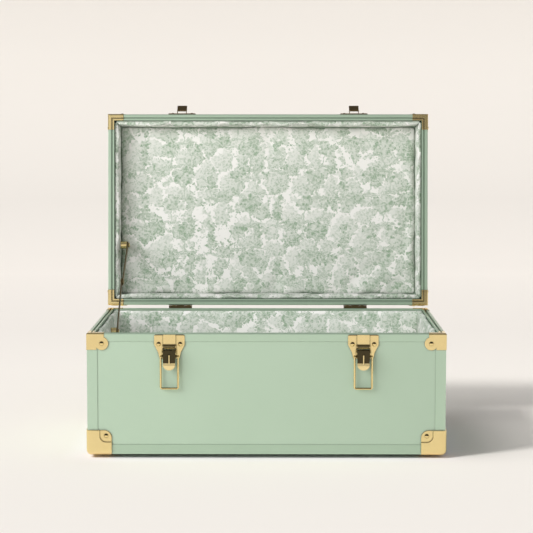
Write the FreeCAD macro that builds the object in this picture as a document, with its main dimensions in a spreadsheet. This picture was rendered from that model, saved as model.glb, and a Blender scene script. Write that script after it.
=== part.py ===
import FreeCAD, Part
import math
import os
import Sketcher

# A lidded trunk, standing open: a boarded box and lid covered in painted cloth, edged with
# folded strips, closed by two draw latches, hinged at the back, lined with padded panels and
# held open by a folding stay on the left. All lengths are in millimetres.
# Row frame: +Z up, +Y to the hinge side, origin at the centre of the bottom board's underside.

doc = FreeCAD.newDocument("trunk")
sheet = doc.addObject("Spreadsheet::Sheet", "Sizes")
cells_used = 0


# A size: a number from the sheet, or worked out from others, with the expression that gives it
class Size:
    def __init__(self, value, text):
        self.value = value
        self.text = text

    def __add__(self, other):
        return Size(self.value + number(other), f"({self.text} + {text(other)})")

    def __radd__(self, other):
        return Size(number(other) + self.value, f"({text(other)} + {self.text})")

    def __sub__(self, other):
        return Size(self.value - number(other), f"({self.text} - {text(other)})")

    def __rsub__(self, other):
        return Size(number(other) - self.value, f"({text(other)} - {self.text})")

    def __mul__(self, other):
        return Size(self.value * number(other), f"({self.text} * {text(other)})")

    def __rmul__(self, other):
        return Size(number(other) * self.value, f"({text(other)} * {self.text})")

    def __truediv__(self, other):
        return Size(self.value / number(other), f"({self.text} / {text(other)})")

    def __neg__(self):
        return Size(-self.value, f"(0 - {self.text})")


def number(size):
    return size.value if isinstance(size, Size) else float(size)


def text(size):
    return size.text if isinstance(size, Size) else str(size)


def cell(alias, value):
    """Adds one driving dimension to the sheet and returns it as a size."""
    global cells_used
    cells_used += 1
    sheet.set(f"A{cells_used}", alias)
    sheet.set(f"B{cells_used}", str(value))
    sheet.setAlias(f"B{cells_used}", alias)
    return Size(float(value), f"Sizes.{alias}")


def sine(angle):
    return Size(math.sin(math.radians(number(angle))), f"sin({text(angle)})")


def cosine(angle):
    return Size(math.cos(math.radians(number(angle))), f"cos({text(angle)})")


def root(size):
    return Size(math.sqrt(number(size)), f"sqrt({text(size)})")


def arc_cosine(share):
    return Size(math.degrees(math.acos(number(share))), f"(acos({text(share)}) / 1 deg)")


def direction(rise, run):
    """The angle of a line from its rise and run, in degrees."""
    value = math.degrees(math.atan2(number(rise), number(run)))
    return Size(value, f"(atan2({text(rise)}; {text(run)}) / 1 deg)")


def bind(thing, prop, size):
    """Ties a property to a size, or sets it where the size is a plain zero or count."""
    if isinstance(size, Size):
        thing.setExpression(prop, size.text)
    else:
        thing.setExpression(prop, str(size))


def place(thing, x=0, y=0, z=0, tilt=None):
    """Puts a piece at a point, turned by tilt degrees about its X axis."""
    if tilt is not None:
        turn = FreeCAD.Rotation(FreeCAD.Vector(1, 0, 0), number(tilt))
        thing.Placement = FreeCAD.Placement(FreeCAD.Vector(0, 0, 0), turn)
        bind(thing, "Placement.Rotation.Angle", tilt)
    for axis, size in zip("xyz", (x, y, z)):
        bind(thing, f"Placement.Base.{axis}", size)
    return thing


def new_body(label):
    body = doc.addObject("PartDesign::Body", label)
    body.Label = label
    return body


def draw(sketch, outline):
    """Draws one closed outline. A point is (x, y), or (x, y, radius, side) where an arc of that
    radius leads to the next point, bulging to the right (side 1) or left (side -1) of the way.
    A circle is ("circle", x, y, radius)."""
    if outline[0] == "circle":
        _, x, y, radius = outline
        centre = FreeCAD.Vector(number(x), number(y), 0)
        item = sketch.addGeometry(Part.Circle(centre, FreeCAD.Vector(0, 0, 1), number(radius)), False)
        tie(sketch, "Radius", item, None, radius)
        tie(sketch, "DistanceX", item, 3, x)
        tie(sketch, "DistanceY", item, 3, y)
        return
    ends = []
    for index, point in enumerate(outline):
        following = outline[(index + 1) % len(outline)]
        here = FreeCAD.Vector(number(point[0]), number(point[1]), 0)
        there = FreeCAD.Vector(number(following[0]), number(following[1]), 0)
        if len(point) == 2:
            item = sketch.addGeometry(Part.LineSegment(here, there), False)
            ends.append((item, 1, 2))
            continue
        radius, side = point[2], point[3]
        chord = there - here
        across = FreeCAD.Vector(-chord.y, chord.x, 0).normalize()
        inset = math.sqrt(max(number(radius) ** 2 - (chord.Length / 2) ** 2, 0))
        centre = (here + there) / 2 + across * (inset * side)
        from_centre, to_centre = here - centre, there - centre
        start = math.atan2(from_centre.y, from_centre.x)
        stop = math.atan2(to_centre.y, to_centre.x)
        circle = Part.Circle(centre, FreeCAD.Vector(0, 0, 1), number(radius))
        if side > 0:
            item = sketch.addGeometry(Part.ArcOfCircle(circle, start, stop), False)
            ends.append((item, 1, 2))
        else:
            item = sketch.addGeometry(Part.ArcOfCircle(circle, stop, start), False)
            ends.append((item, 2, 1))
        tie(sketch, "Radius", item, None, radius)
    for index, (item, first, last) in enumerate(ends):
        after, after_first, _ = ends[(index + 1) % len(ends)]
        sketch.addConstraint(Sketcher.Constraint("Coincident", item, last, after, after_first))
        tie(sketch, "DistanceX", item, first, outline[index][0])
        tie(sketch, "DistanceY", item, first, outline[index][1])


def tie(sketch, kind, item, end, size):
    """Adds one dimension to a sketch and ties it to a size."""
    where = (item,) if end is None else (item, end)
    added = sketch.addConstraint(Sketcher.Constraint(kind, *where, number(size)))
    if isinstance(size, Size):
        sketch.setExpression(f"Constraints[{added}]", size.text)


def prism(body, plane, outlines, start, end, cut=False):
    """Pads, or pockets, outlines on a plane of the body, from start to end along X, Y or Z."""
    role = {"XY": "XY_Plane", "XZ": "XZ_Plane", "YZ": "YZ_Plane"}[plane]
    origin_plane = [item for item in body.Origin.OriginFeatures if item.Role == role][0]
    low, high = (start, end) if number(start) < number(end) else (end, start)
    # The XZ plane faces -Y, so its offsets run the other way
    first = -1 * high if plane == "XZ" else low
    sketch = body.newObject("Sketcher::SketchObject", f"{body.Name}_sketch")
    sketch.AttachmentSupport = [(origin_plane, "")]
    sketch.MapMode = "FlatFace"
    bind(sketch, "AttachmentOffset.Base.z", first)
    for outline in outlines:
        draw(sketch, outline)
    feature = body.newObject("PartDesign::Pocket" if cut else "PartDesign::Pad", f"{body.Name}_step")
    feature.Profile = sketch
    feature.Reversed = cut
    bind(feature, "Length", high - low)
    return feature


def round_edges(body, radius, chosen):
    """Fillets the edges of a body for which chosen(edge) is true."""
    doc.recompute()
    base = body.Tip
    names = [f"Edge{index + 1}" for index, edge in enumerate(base.Shape.Edges) if chosen(edge)]
    fillet = body.newObject("PartDesign::Fillet", f"{body.Name}_round")
    fillet.Base = (base, names)
    bind(fillet, "Radius", radius)
    return fillet


def rectangle(x_low, y_low, x_high, y_high):
    return [(x_low, y_low), (x_high, y_low), (x_high, y_high), (x_low, y_high)]


def block(label, x_low, y_low, z_low, x_high, y_high, z_high):
    """A board or strip with square edges."""
    box = doc.addObject("Part::Box", label)
    bind(box, "Length", x_high - x_low)
    bind(box, "Width", y_high - y_low)
    bind(box, "Height", z_high - z_low)
    return place(box, x_low, y_low, z_low)


def mirrored(source, axis, at=0):
    """The mirror image of a piece across the plane where X or Y equals at."""
    image = doc.addObject("Part::Mirroring", f"{source.Name}_mirrored")
    image.Source = source
    image.Normal = FreeCAD.Vector(1, 0, 0) if axis == "X" else FreeCAD.Vector(0, 1, 0)
    bind(image, "Base.x" if axis == "X" else "Base.y", at)
    return image


def four_corners(source, middle):
    """A piece at the front left corner and its images at the other three."""
    right = mirrored(source, "X")
    return {
        "front_left": source,
        "front_right": right,
        "back_left": mirrored(source, "Y", middle),
        "back_right": mirrored(right, "Y", middle),
    }


nodes = []


def node(label, thing):
    thing.Label = label
    nodes.append(thing)
    return thing


def group(label, pieces):
    """Several separate solids, or one, as one sub-part of the box."""
    compound = doc.addObject("Part::Compound", label)
    compound.Links = pieces
    return node(label, compound)


def on_lid(label, pieces):
    """A sub-part of the lid. Its pieces are drawn with the lid shut, from the hinge axis, and
    it is turned back about that axis to stand open."""
    compound = group(label, pieces)
    return place(compound, 0, pin_y, pin_z, -open_angle)


# Overall sizes of the box and lid, and what is shared by many pieces
trunk_length = cell("trunk_length", 610.0)
trunk_depth = cell("trunk_depth", 364.0)
rim_height = cell("rim_height", 206.8)
lid_height = cell("lid_height", 61.5)
open_angle = cell("open_angle", 95.0)
board = cell("board", 9.5)
strip = cell("strip", 0.8)
rim_gap = cell("rim_gap", 1.6)
hinge_offset = cell("hinge_offset", 4.4)
overrun = cell("overrun", 2.0)
brass = cell("brass", 0.7)
seat_gap = cell("seat_gap", 0.3)
left = -1 * trunk_length / 2
front = -1 * trunk_depth / 2
pin_y = trunk_depth / 2 + hinge_offset
pin_z = rim_height + rim_gap / 2
# The lid's own frame: the hinge axis, with the lid shut
lid_front = -1 * (trunk_depth + hinge_offset)
lid_middle = -1 * (trunk_depth / 2 + hinge_offset)
lid_rim = rim_gap / 2
lid_top = lid_rim + lid_height

# Eased corners: the boards are rounded where a brass corner cap goes over them
cap_leg = cell("cap_leg", 41.3)
lid_cap_leg = cell("lid_cap_leg", 31.4)
cap_raise = cell("cap_raise", 1.8)
cap_round = cell("cap_round", 9.0)
cap_seat_round = cap_round - brass - cap_raise
ease_clearance = cell("ease_clearance", 0.5)


def corner_block(label, x, y, z, up, far, near, radius):
    """A cube over a corner of the box, from near outside it to far inside, with the three edges
    at the corner rounded. up is 1 at the bottom and -1 at the top of the lid."""
    body = new_body(label)
    prism(body, "XY", [rectangle(x - near, y - near, x + far, y + far)], z - up * near, z + up * far)
    tip = FreeCAD.Vector(number(x - near), number(y - near), number(z - up * near))
    reach = number(brass)

    def at_corner(edge):
        return min(v.Point.distanceToPoint(tip) for v in edge.Vertexes) < reach

    round_edges(body, radius, at_corner)
    return body


def ease_cutter(label, x, y, z, up, middle, leg):
    """What is taken off the boards at the four corners under the caps, whose legs are leg long."""
    outside = new_body(f"{label}_outside")
    cube = rectangle(x - overrun, y - overrun, x + leg, y + leg)
    prism(outside, "XY", [cube], z - up * overrun, z + up * leg)
    form = corner_block(f"{label}_form", x, y, z, up, leg + overrun, 0, cap_seat_round + ease_clearance)
    cutter = doc.addObject("Part::Cut", label)
    cutter.Base = outside
    cutter.Tool = form
    every = doc.addObject("Part::Compound", f"{label}_four")
    every.Links = list(four_corners(cutter, middle).values())
    return every


def eased(label, board_block, cutter):
    shaped = doc.addObject("Part::Cut", label)
    shaped.Base = board_block
    shaped.Tool = cutter
    return shaped


def shell_boards(middle, y_front, bottom, top, cutter, names, flat_low, flat_high):
    """The four walls and the flat board of the base or the lid, as eased boards."""
    y_back = y_front + trunk_depth
    out_x, out_front, out_back = left + strip, y_front + strip, y_back - strip
    in_front, in_back = out_front + board, out_back - board
    spans = {
        "front": (out_x, out_front, bottom, -1 * out_x, in_front, top),
        "back": (out_x, in_back, bottom, -1 * out_x, out_back, top),
        "left": (out_x, in_front, bottom, out_x + board, in_back, top),
        "right": (-1 * out_x - board, in_front, bottom, -1 * out_x, in_back, top),
        "flat": (out_x, out_front, flat_low, -1 * out_x, out_back, flat_high),
    }
    return {
        side: eased(f"{names[side]}_shape", block(f"{names[side]}_blank", *span), cutter)
        for side, span in spans.items()
    }


# Boards of the base: plywood covered in painted cloth, standing on the bottom board
rim_land = cell("rim_land", 5.2)
base_names = {side: f"base_{side}_panel" for side in ("front", "back", "left", "right")}
base_names["flat"] = "base_bottom_panel"
base_cutter = ease_cutter("base_ease", left, front, -1 * strip, 1, 0, cap_leg)
base_boards = shell_boards(0, front, board, rim_height - rim_land, base_cutter, base_names, 0, board)
for side, shaped in base_boards.items():
    group(base_names[side], [shaped])

# Boards of the lid
lid_names = {side: f"lid_{side}_panel" for side in ("front", "back", "left", "right")}
lid_names["flat"] = "lid_top_panel"
lid_cutter = ease_cutter("lid_ease", left, lid_front, lid_top, -1, lid_middle, lid_cap_leg)
lid_board_face = lid_top - strip - board
lid_span = (lid_rim + rim_land, lid_board_face)
lid_flat = (lid_board_face, lid_top - strip)
lid_boards = shell_boards(lid_middle, lid_front, *lid_span, lid_cutter, lid_names, *lid_flat)
for side, shaped in lid_boards.items():
    on_lid(lid_names[side], [shaped])

# Rim: one extruded section, cut to four mitred lengths that cap the edges of the boards.
# Its top has an outer land, a groove and a narrow inner land
rim_width = cell("rim_width", 11.6)
rim_band = cell("rim_band", 13.6)
rim_inner_skirt = cell("rim_inner_skirt", 10.0)
groove_start = cell("groove_start", 5.7)
groove_width = cell("groove_width", 3.6)
groove_depth = cell("groove_depth", 3.8)
rim_edge_round = cell("rim_edge_round", 2.2)
rim_inner_wall = rim_width - strip - board


def mitred_lengths(label, profile, y_front, middle, width):
    """A section run round the box in four lengths with mitred ends. The profile's points are
    (distance in from the outer face, height); width is how far in the section reaches."""
    right, y_back = -1 * left, y_front + trunk_depth
    front_length = new_body(f"{label}_front_length")
    side_length = new_body(f"{label}_side_length")
    along_front = [(y_front + point[0], *point[1:]) for point in profile]
    along_side = [(left + point[0], *point[1:]) for point in profile]
    prism(front_length, "YZ", [along_front], left, right)
    prism(side_length, "XZ", [along_side], y_front, y_back)
    deep = width + overrun
    left_end = [
        (left - overrun, y_front - overrun),
        (left + deep, y_front + deep),
        (left - overrun, y_front + deep),
    ]
    right_end = [(-1 * x, y) for x, y in reversed(left_end)]
    low_end = [
        (left - overrun, y_front - overrun),
        (left + deep, y_front - overrun),
        (left + deep, y_front + deep),
    ]
    high_end = [(x, 2 * middle - y) for x, y in reversed(low_end)]
    floor_level = min((point[1] for point in profile), key=number) - overrun
    ceiling = max((point[1] for point in profile), key=number) + overrun
    prism(front_length, "XY", [left_end, right_end], floor_level, ceiling, cut=True)
    prism(side_length, "XY", [low_end, high_end], floor_level, ceiling, cut=True)
    return {
        "front": front_length,
        "back": mirrored(front_length, "Y", middle),
        "left": side_length,
        "right": mirrored(side_length, "X"),
    }


def rim_profile(rim_level, down):
    """The rim's section. down is -1 for the base, whose skirts hang, and 1 for the lid."""
    groove_end = groove_start + groove_width
    return [
        (0, rim_level + down * rim_band),
        (0, rim_level + down * rim_edge_round, rim_edge_round, down),
        (rim_edge_round, rim_level),
        (groove_start, rim_level),
        (groove_start, rim_level + down * groove_depth),
        (groove_end, rim_level + down * groove_depth),
        (groove_end, rim_level),
        (rim_width, rim_level),
        (rim_width, rim_level + down * rim_inner_skirt),
        (rim_width - rim_inner_wall, rim_level + down * rim_inner_skirt),
        (rim_width - rim_inner_wall, rim_level + down * rim_land),
        (strip, rim_level + down * rim_land),
        (strip, rim_level + down * rim_band),
    ]


base_rim = mitred_lengths("base_rim", rim_profile(rim_height, -1), front, 0, rim_width)
group("base_rim_channel", list(base_rim.values()))
lid_rim_lengths = mitred_lengths("lid_rim", rim_profile(lid_rim, 1), lid_front, lid_middle, rim_width)
on_lid("lid_rim_channel", list(lid_rim_lengths.values()))

# Edge bindings: folded strips along the outer edges, which end against the corner caps
edge_binding = cell("edge_binding", 16.2)
corner_binding = cell("corner_binding", 17.5)


def flat_edge_bindings(label, y_front, middle, level, up, leg):
    """Folded strips along the four edges of the bottom, or of the lid's top, between the caps."""
    strips = []
    right, y_back = -1 * left, y_front + trunk_depth
    for name, plane, x, start, end in (
        ("front", "YZ", y_front, left + leg, right - leg),
        ("side", "XZ", left, y_front + leg, y_back - leg),
    ):
        body = new_body(f"{label}_{name}")
        fold = [
            (x, level),
            (x + edge_binding, level),
            (x + edge_binding, level + up * strip),
            (x + strip, level + up * strip),
            (x + strip, level + up * edge_binding),
            (x, level + up * edge_binding),
        ]
        prism(body, plane, [fold], start, end)
        strips.append(body)
    return [strips[0], strips[1], mirrored(strips[0], "Y", middle), mirrored(strips[1], "X")]


def corner_bindings(label, y_front, middle, low, high):
    """Folded strips up the four corners, between the corner caps and the rim."""
    body = new_body(label)
    fold = [
        (left, y_front),
        (left + corner_binding, y_front),
        (left + corner_binding, y_front + strip),
        (left + strip, y_front + strip),
        (left + strip, y_front + corner_binding),
        (left, y_front + corner_binding),
    ]
    prism(body, "XY", [fold], low, high)
    return list(four_corners(body, middle).values())


group("base_bottom_binding", flat_edge_bindings("base_edge", front, 0, -1 * strip, 1, cap_leg))
base_upright_low = cap_leg - strip
base_uprights = corner_bindings("base_upright", front, 0, base_upright_low, rim_height - rim_band)
group("base_corner_bindings", base_uprights)
on_lid("lid_top_binding", flat_edge_bindings("lid_edge", lid_front, lid_middle, lid_top, -1, lid_cap_leg))
lid_upright_span = (lid_rim + rim_band, lid_top - lid_cap_leg)
lid_uprights = corner_bindings("lid_upright", lid_front, lid_middle, *lid_upright_span)
on_lid("lid_corner_bindings", lid_uprights)

# Corner caps: pressed brass over a corner of the box, with a raised crown and three riveted ears.
# Those of the lid are a smaller size of the same cap
ear_round = cell("ear_round", 12.7)
cap_rivet_in = cell("cap_rivet_in", 31.8)
boss_radius = cell("boss_radius", 11.1)
lid_cap_share = lid_cap_leg / cap_leg


def corner_cap(label, x, y, z, up, share):
    """A corner cap drawn where it sits. up is 1 at the bottom and -1 at the top of the lid, and
    share is its size beside a cap of the base."""
    skin = brass + cap_raise
    leg, bend, boss = cap_leg * share, ear_round * share, boss_radius * share
    body = corner_block(f"{label}_crown", x, y, z, up, leg, skin, cap_round)
    centre, edge = cap_rivet_in * share, leg + overrun
    # On each face the ear is left lower than the crown, with a round step about its rivet
    for plane, corner_u, corner_v, level, u_way, v_way, out in (
        ("XZ", x, z, y, 1, up, 1),
        ("YZ", y, z, x, 1, up, 1),
        ("XY", x, y, z, 1, 1, up),
    ):
        across = corner_u + u_way * centre
        along = corner_v + v_way * centre
        low_u, low_v = corner_u + u_way * (centre - boss), corner_v + v_way * (centre - boss)
        far_u, far_v = corner_u + u_way * edge, corner_v + v_way * edge
        quadrant = [(low_u, along), (across, low_v), (far_u, low_v), (far_u, far_v), (low_u, far_v)]
        outer = level - out * (skin + overrun)
        prism(body, plane, [quadrant], outer, level - out * brass, cut=True)
        prism(body, plane, [("circle", across, along, boss)], outer, level - out * brass, cut=True)
        bend_u = corner_u + u_way * (leg - bend)
        bend_v = corner_v + v_way * (leg - bend)
        end_u, end_v = corner_u + u_way * leg, corner_v + v_way * leg
        turn = 1 if v_way * u_way > 0 else -1
        spandrel = [
            (end_u, bend_v, bend, turn),
            (bend_u, end_v),
            (bend_u, far_v),
            (far_u, far_v),
            (far_u, bend_v),
        ]
        prism(body, plane, [spandrel], outer, level + out * overrun, cut=True)
    hollow = corner_block(f"{label}_hollow", x, y, z, up, leg + overrun, 0, cap_seat_round)
    cap = doc.addObject("Part::Cut", f"{label}_shape")
    cap.Base = body
    cap.Tool = hollow
    return cap


base_cap = corner_cap("base_cap", left, front, -1 * strip, 1, 1)
for corner, piece in four_corners(base_cap, 0).items():
    group(f"base_bottom_corner_{corner}", [piece])
lid_cap = corner_cap("lid_cap", left, lid_front, lid_top, -1, lid_cap_share)
on_lid("lid_top_corners", list(four_corners(lid_cap, lid_middle).values()))

# Rim corners: sheet brass pressed to the rim's section and mitred round its corner, with a
# riveted ear on each outer face
rim_corner_leg = cell("rim_corner_leg", 29.2)
clasp_width = cell("clasp_width", 16.6)
clasp_height = cell("clasp_height", 28.2)
clasp_lip = cell("clasp_lip", 6.6)
clasp_groove = cell("clasp_groove", 3.0)
ear_in = cell("ear_in", 25.3)
ear_down = cell("ear_down", 17.2)
ear_radius = cell("ear_radius", 11.4)


def clasp_section(start, level, down):
    """The pressed sheet's section over the rim, from the rim's outer face at start."""
    over, groove_floor = level - down * brass, level + down * clasp_groove
    near, far = start + groove_start, start + groove_start + groove_width
    return [
        (start - brass, level + down * clasp_lip),
        (start - brass, level + down * rim_edge_round, rim_edge_round + brass, down),
        (start + rim_edge_round, over),
        (near + brass, over),
        (near + brass, groove_floor - down * brass),
        (far - brass, groove_floor - down * brass),
        (far - brass, over),
        (start + rim_width, over),
        (start + rim_width, level),
        (far, level),
        (far, groove_floor),
        (near, groove_floor),
        (near, level),
        (start + rim_edge_round, level, rim_edge_round, -1 * down),
        (start, level + down * rim_edge_round),
        (start, level + down * clasp_lip),
    ]


def rim_corner(label, x, y, z, down):
    """A rim corner drawn where it sits. down is -1 for the base and 1 for the lid."""
    deep = rim_width + overrun
    front_waste = [(x - overrun, y - overrun), (x + deep, y + deep), (x - overrun, y + deep)]
    side_waste = [(x - overrun, y - overrun), (x + deep, y - overrun), (x + deep, y + deep)]
    pieces = []
    for name, plane, across, along, waste in (
        ("front_leg", "YZ", y, x, front_waste),
        ("side_leg", "XZ", x, y, side_waste),
    ):
        leg = new_body(f"{label}_{name}")
        prism(leg, plane, [clasp_section(across, z, down)], along - brass, along + rim_corner_leg)
        prism(leg, "XY", [waste], z - down * (brass + overrun), z + down * (clasp_lip + overrun), cut=True)
        pieces.append(leg)
    flaps = new_body(f"{label}_flaps")
    top = z + down * rim_edge_round
    for plane, corner, level in (("XZ", x, y), ("YZ", y, x)):
        for outline in (
            rectangle(corner - brass, top, corner + clasp_width, z + down * clasp_height),
            rectangle(corner - brass, top, corner + ear_in, z + down * ear_down),
            ("circle", corner + ear_in, z + down * ear_down, ear_radius),
        ):
            prism(flaps, plane, [outline], level - brass, level)
    clasp = doc.addObject("Part::MultiFuse", label)
    clasp.Shapes = [*pieces, flaps]
    return clasp


base_clasp = rim_corner("base_clasp", left, front, rim_height, -1)
group("base_rim_corners", list(four_corners(base_clasp, 0).values()))
lid_clasp = rim_corner("lid_clasp", left, lid_front, lid_rim, 1)
on_lid("lid_rim_corners", list(four_corners(lid_clasp, lid_middle).values()))

# Feet: four low rubber discs, set in clear of the corner caps so that they don't show
foot_height = cell("foot_height", 7.6)
foot_radius = cell("foot_radius", 12.5)
foot_clearance = cell("foot_clearance", 1.2)
foot_inset = cap_leg + foot_clearance + foot_radius
foot = doc.addObject("Part::Cylinder", "foot")
bind(foot, "Radius", foot_radius)
bind(foot, "Height", foot_height)
place(foot, left + foot_inset, front + foot_inset, -1 * foot_height)
group("feet", list(four_corners(foot, 0).values()))

# Hinges: two butt hinges on the back, with their knuckles at the rim
hinge_spacing = cell("hinge_spacing", 333.4)
hinge_width = cell("hinge_width", 44.0)
hinge_leaf = cell("hinge_leaf", 30.0)
leaf_plate = cell("leaf_plate", 1.0)
barrel_radius = cell("barrel_radius", 3.2)
hinge_pin_radius = cell("hinge_pin_radius", 1.5)
running_fit = cell("running_fit", 0.05)
knuckle_gap = cell("knuckle_gap", 0.2)
knuckles = 3


def hinge_leaf_body(label, x, y, z, up, turns):
    """A leaf and its knuckles. up is -1 for the base leaf and 1 for the lid leaf, turns the
    places, counted from the left, where this leaf has a knuckle."""
    body = new_body(label)
    low, high = x - hinge_width / 2, x + hinge_width / 2
    plate_y = y - hinge_offset
    near, far = z + up * rim_gap / 2, z + up * (rim_gap / 2 + hinge_leaf)
    plate = rectangle(plate_y, near, plate_y + leaf_plate, far)
    prism(body, "YZ", [plate], low, high)
    pitch = hinge_width / knuckles
    for turn in turns:
        start = low + pitch * turn + knuckle_gap / 2
        end = start + pitch - knuckle_gap
        web = [
            (plate_y, z + up * rim_gap / 2),
            (y, z + up * barrel_radius / 2),
            (y, z + up * barrel_radius),
            (plate_y, z + up * 2 * barrel_radius),
        ]
        prism(body, "YZ", [web], start, end)
        prism(body, "YZ", [("circle", y, z, barrel_radius)], start, end)
        prism(body, "YZ", [("circle", y, z, hinge_pin_radius + running_fit)], start, end, cut=True)
    return body


hinge_pins = []
for side, way in (("left", -1), ("right", 1)):
    centre = way * hinge_spacing / 2
    base_leaf = hinge_leaf_body(f"{side}_base_leaf", centre, pin_y, pin_z, -1, (0, 2))
    group(f"{side}_hinge_base_leaf", [base_leaf])
    lid_leaf = hinge_leaf_body(f"{side}_lid_leaf", centre, 0, 0, 1, (1,))
    on_lid(f"{side}_hinge_lid_leaf", [lid_leaf])
    pin = new_body(f"{side}_hinge_pin_shape")
    end = hinge_width / 2 - knuckle_gap / 2
    prism(pin, "YZ", [("circle", pin_y, pin_z, hinge_pin_radius)], centre - end, centre + end)
    hinge_pins.append(pin)
group("hinge_pins", hinge_pins)

# Draw latches: a plate on the base, a lever on its ears, and a wire bail on the lever.
# They are drawn from the middle of the plate's top edge, on the outer face; -Y is outwards
latch_spacing = cell("latch_spacing", 328.8)
latch_drop = cell("latch_drop", 1.8)
plate_half = cell("plate_half", 25.9)
plate_foot_half = cell("plate_foot_half", 17.6)
plate_waist_half = cell("plate_waist_half", 19.2)
plate_straight = cell("plate_straight", 17.6)
plate_waist = cell("plate_waist", 30.5)
plate_length = cell("plate_length", 41.0)
plate_sheet = cell("plate_sheet", 1.2)
plate_round = cell("plate_round", 3.0)
strap_half = cell("strap_half", 10.5)
strap_height = cell("strap_height", 17.7)
strap_raise = cell("strap_raise", 2.2)
slot_half = cell("slot_half", 11.5)
slot_end = cell("slot_end", 25.6)
roll_down = cell("roll_down", 20.6)
roll_out = cell("roll_out", 3.7)
roll_radius = cell("roll_radius", 3.3)
lever_pivot_down = cell("lever_pivot_down", 30.2)
lever_pivot_out = cell("lever_pivot_out", 8.0)
ear_sheet = cell("ear_sheet", 1.4)
pivot_boss = cell("pivot_boss", 4.4)
pivot_pin_radius = cell("pivot_pin_radius", 1.5)
lever_half = cell("lever_half", 10.4)
lever_sheet = cell("lever_sheet", 1.2)
lever_out = cell("lever_out", 13.0)
lever_face_end = cell("lever_face_end", 48.2)
lip_out = cell("lip_out", 15.4)
lip_height = cell("lip_height", 3.4)
tab_half = cell("tab_half", 10.4)
tab_drop = cell("tab_drop", 7.7)
rib_half = cell("rib_half", 1.2)
rib_raise = cell("rib_raise", 0.9)
rib_start = cell("rib_start", 33.0)
bail_pivot_down = cell("bail_pivot_down", 7.7)
bail_pivot_in = cell("bail_pivot_in", 2.0)
bail_eye = cell("bail_eye", 3.0)
wire_radius = cell("wire_radius", 1.8)
wire_clearance = cell("wire_clearance", 0.1)
bail_half = cell("bail_half", 14.7)
bail_reach = cell("bail_reach", 53.8)
bail_bend = cell("bail_bend", 2.6)
ear_inner = lever_half + seat_gap
bail_level = lever_pivot_down + bail_pivot_down
bail_out = lever_pivot_out - bail_pivot_in


def latch_plate(label):
    body = new_body(label)
    top_bend = plate_half - plate_round
    outline = [
        (-1 * top_bend, 0, plate_round, 1),
        (-1 * plate_half, -1 * plate_round),
        (-1 * plate_half, -1 * plate_straight),
        (-1 * plate_waist_half, -1 * plate_waist),
        (-1 * plate_foot_half, plate_round - plate_length, plate_round, 1),
        (plate_round - plate_foot_half, -1 * plate_length),
        (plate_foot_half - plate_round, -1 * plate_length, plate_round, 1),
        (plate_foot_half, plate_round - plate_length),
        (plate_waist_half, -1 * plate_waist),
        (plate_half, -1 * plate_straight),
        (plate_half, -1 * plate_round, plate_round, 1),
        (top_bend, 0),
    ]
    prism(body, "XZ", [outline], -1 * plate_sheet, 0)
    face = plate_sheet + strap_raise
    prism(body, "XZ", [rectangle(-1 * strap_half, -1 * strap_height, strap_half, 0)], -1 * face, 0)
    inner = strap_half - plate_sheet
    hollow = rectangle(-1 * inner, -1 * strap_height, inner, -1 * plate_sheet)
    prism(body, "XZ", [hollow], -1 * strap_raise, overrun, cut=True)
    slot = rectangle(-1 * slot_half, -1 * slot_end, slot_half, -1 * strap_height)
    prism(body, "XZ", [slot], -1 * plate_sheet - overrun, overrun, cut=True)
    # The strap's end is rolled, and closes the slot above the lever
    roll = ("circle", -1 * roll_out, -1 * roll_down, roll_radius)
    prism(body, "YZ", [roll], -1 * slot_half, slot_half)
    for way in (-1, 1):
        near, far = way * ear_inner, way * (ear_inner + ear_sheet)
        low, high = -1 * lever_pivot_down - pivot_boss, pivot_boss - lever_pivot_down
        prism(body, "YZ", [rectangle(-1 * lever_pivot_out, low, 0, high)], near, far)
        prism(body, "YZ", [("circle", -1 * lever_pivot_out, -1 * lever_pivot_down, pivot_boss)], near, far)
        hole = ("circle", -1 * lever_pivot_out, -1 * lever_pivot_down, pivot_pin_radius + running_fit)
        prism(body, "YZ", [hole], near, far, cut=True)
    return body


def latch_lever(label):
    """A channel: a flat face between two cheeks, a cross lip, a centre rib and a round tab."""
    body = new_body(label)
    top = slot_end
    inner_out = lever_out - lever_sheet
    face = rectangle(-1 * lever_half, -1 * lever_face_end, lever_half, -1 * top)
    prism(body, "XZ", [face], -1 * lever_out, -1 * inner_out)
    eye_in = bail_out - bail_eye
    cheek = [
        (-1 * lever_out, -1 * top),
        (-1 * lever_out, -1 * lever_face_end),
        (-1 * inner_out, -1 * lever_face_end),
        (-1 * bail_out, -1 * (bail_level + bail_eye)),
        (-1 * eye_in, -1 * bail_level),
        (pivot_boss - lever_pivot_out, -1 * lever_pivot_down),
        (-1 * lever_pivot_out, -1 * top),
    ]
    for way in (-1, 1):
        near, far = way * (lever_half - lever_sheet), way * lever_half
        prism(body, "YZ", [cheek], near, far)
        pivot_hole = ("circle", -1 * lever_pivot_out, -1 * lever_pivot_down, pivot_pin_radius + running_fit)
        bail_hole = ("circle", -1 * bail_out, -1 * bail_level, wire_radius + wire_clearance)
        prism(body, "YZ", [pivot_hole, bail_hole], near, far, cut=True)
    lip_end = lever_face_end + lip_height
    lip = [
        (-1 * inner_out, -1 * lever_face_end),
        (-1 * lever_out, -1 * lever_face_end),
        (-1 * lip_out, -1 * lip_end),
        (lever_sheet - lip_out, -1 * lip_end),
    ]
    prism(body, "YZ", [lip], -1 * tab_half, tab_half)
    tab_round = (tab_half * tab_half + tab_drop * tab_drop) / (2 * tab_drop)
    tab = [(tab_half, -1 * lip_end, tab_round, -1), (-1 * tab_half, -1 * lip_end)]
    prism(body, "XZ", [tab], -1 * lip_out, lever_sheet - lip_out)
    rib = rectangle(-1 * rib_half, -1 * lip_end, rib_half, -1 * rib_start)
    prism(body, "XZ", [rib], -1 * lever_out - rib_raise, -1 * lever_out)
    return body


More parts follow.
